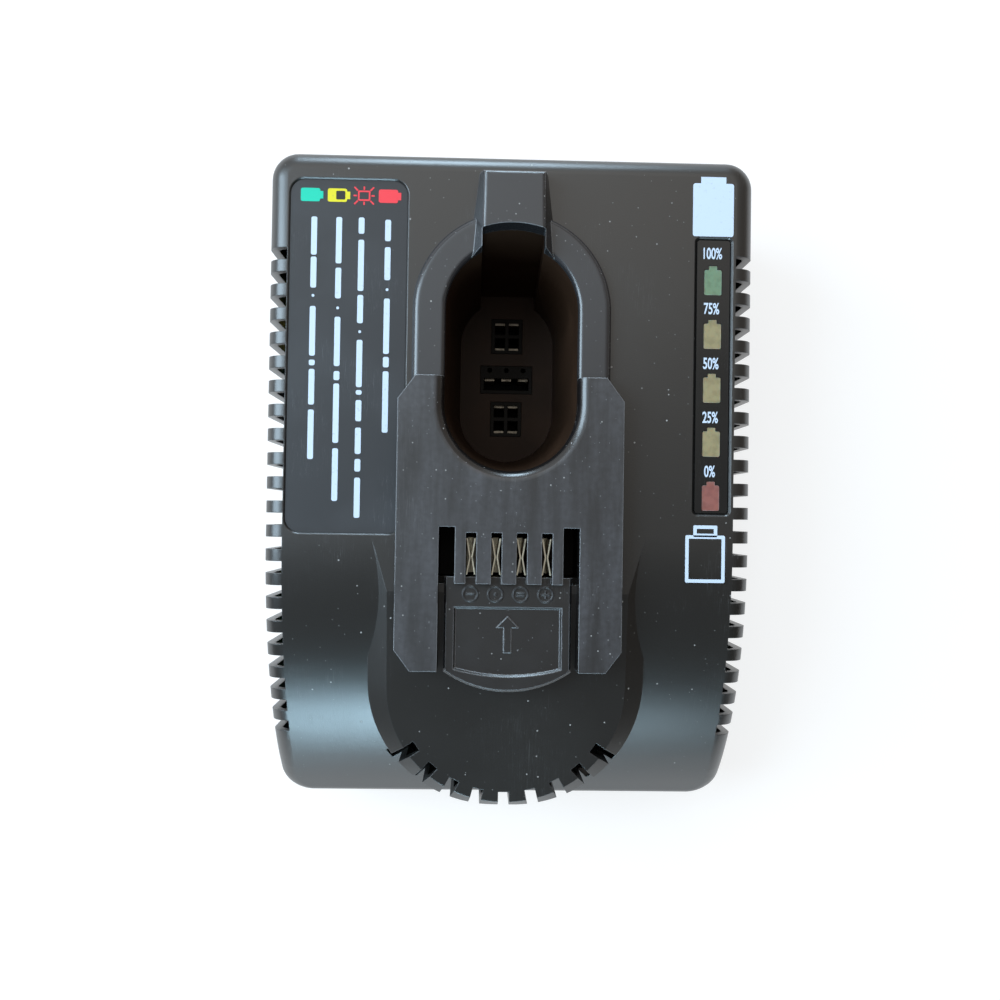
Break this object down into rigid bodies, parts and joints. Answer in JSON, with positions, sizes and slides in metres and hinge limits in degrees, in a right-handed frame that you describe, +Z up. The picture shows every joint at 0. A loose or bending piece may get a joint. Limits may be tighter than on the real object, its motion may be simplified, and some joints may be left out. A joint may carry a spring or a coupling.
{
  "type": "power tool battery charger",
  "caption": "Bench charger for cordless tool packs: slide-on rails with leaf contacts, a deep well for stem packs, a legend panel, charge lights and slotted sides.",
  "frame": {"origin": "on the surface it stands on, under the middle of the housing's outline", "axes": "+Z up, +Y towards the back wall with the mains inlet, -Y towards the tongue that slide packs are pushed on from, +X to the right seen from the front"},
  "size_m": [0.142, 0.196, 0.081],
  "materials": {
    "housing_black": "satin black moulded ABS, fine specks and scratches",
    "dock_black": "scuffed matte black glass-filled nylon",
    "well_black": "dull black moulding",
    "terminal_black": "dull black moulding",
    "label_grey": "smooth dark film, slightly lighter than the housing",
    "strip_black": "smooth black film",
    "light_green": "translucent tinted plastic, unlit",
    "light_amber": "translucent tinted plastic, unlit",
    "light_red": "translucent tinted plastic, unlit",
    "contact_metal": "tin-plated spring brass",
    "steel": "zinc-plated steel",
    "rubber": "soft black rubber",
    "rating_film": "bare silver-grey film",
    "board_green": "green solder mask",
    "ferrite": "dark sintered ferrite",
    "bobbin_plastic": "black phenolic",
    "winding_tape": "yellow polyester tape",
    "copper": "enamelled copper wire",
    "can_sleeve": "dark heat-shrunk sleeve",
    "capacitor_case": "yellow moulded case",
    "package_black": "black epoxy",
    "glass": "clear glass tube",
    "aluminium": "bare extruded aluminium",
    "lamp": "white lamp package",
    "lead_red": "red PVC insulation",
    "lead_black": "black PVC insulation",
    "lead_white": "white PVC insulation",
    "lead_brown": "brown and blue PVC insulation",
    "ribbon_grey": "grey ribbon cable",
    "connector_white": "natural nylon"
  },
  "bodies": {
    "root": {"base_shell": "housing_black", "battery_dock": "dock_black", "board_screws": "steel", "bridge_rectifier": "package_black", "bulk_capacitor": "can_sleeve", "choke_core": "ferrite", "choke_stand": "bobbin_plastic", "choke_windings": "copper", "controller_chip": "package_black", "dock_screws": "steel", "fuse_clips": "steel", "housing_screws": "steel", "indicator_board": "board_green", "indicator_lamps": "lamp", "indicator_ribbon": "ribbon_grey", "indicator_screws": "steel", "indicator_strip": "strip_black", "inductor_core": "ferrite", "inductor_winding": "copper", "inlet_pins": "steel", "legend_label": "label_grey", "light_guide_green": "light_green", "light_guide_red": "light_red", "light_guides_amber": "light_amber", "main_board": "board_green", "mains_fuse": "glass", "mains_inlet": "terminal_black", "mains_leads": "lead_brown", "optocouplers": "package_black", "output_capacitors": "can_sleeve", "output_diode": "package_black", "output_heat_sink": "aluminium", "pod_back_contacts": "contact_metal", "pod_front_contacts": "contact_metal", "pod_sense_contacts": "contact_metal", "pod_terminal_carrier": "terminal_black", "pod_well": "well_black", "power_transistor": "package_black", "primary_heat_sink": "aluminium", "rating_label": "rating_film", "ribbon_connector": "connector_white", "rubber_feet": "rubber", "slide_contacts": "contact_metal", "slide_lead_negative": "lead_black", "slide_lead_positive": "lead_red", "slide_leads_sense": "lead_white", "slide_terminal_block": "terminal_black", "top_shell": "housing_black", "transformer_bobbin": "bobbin_plastic", "transformer_core": "ferrite", "transformer_winding": "winding_tape", "x_capacitor": "capacitor_case"}
  },
  "joints": []
}
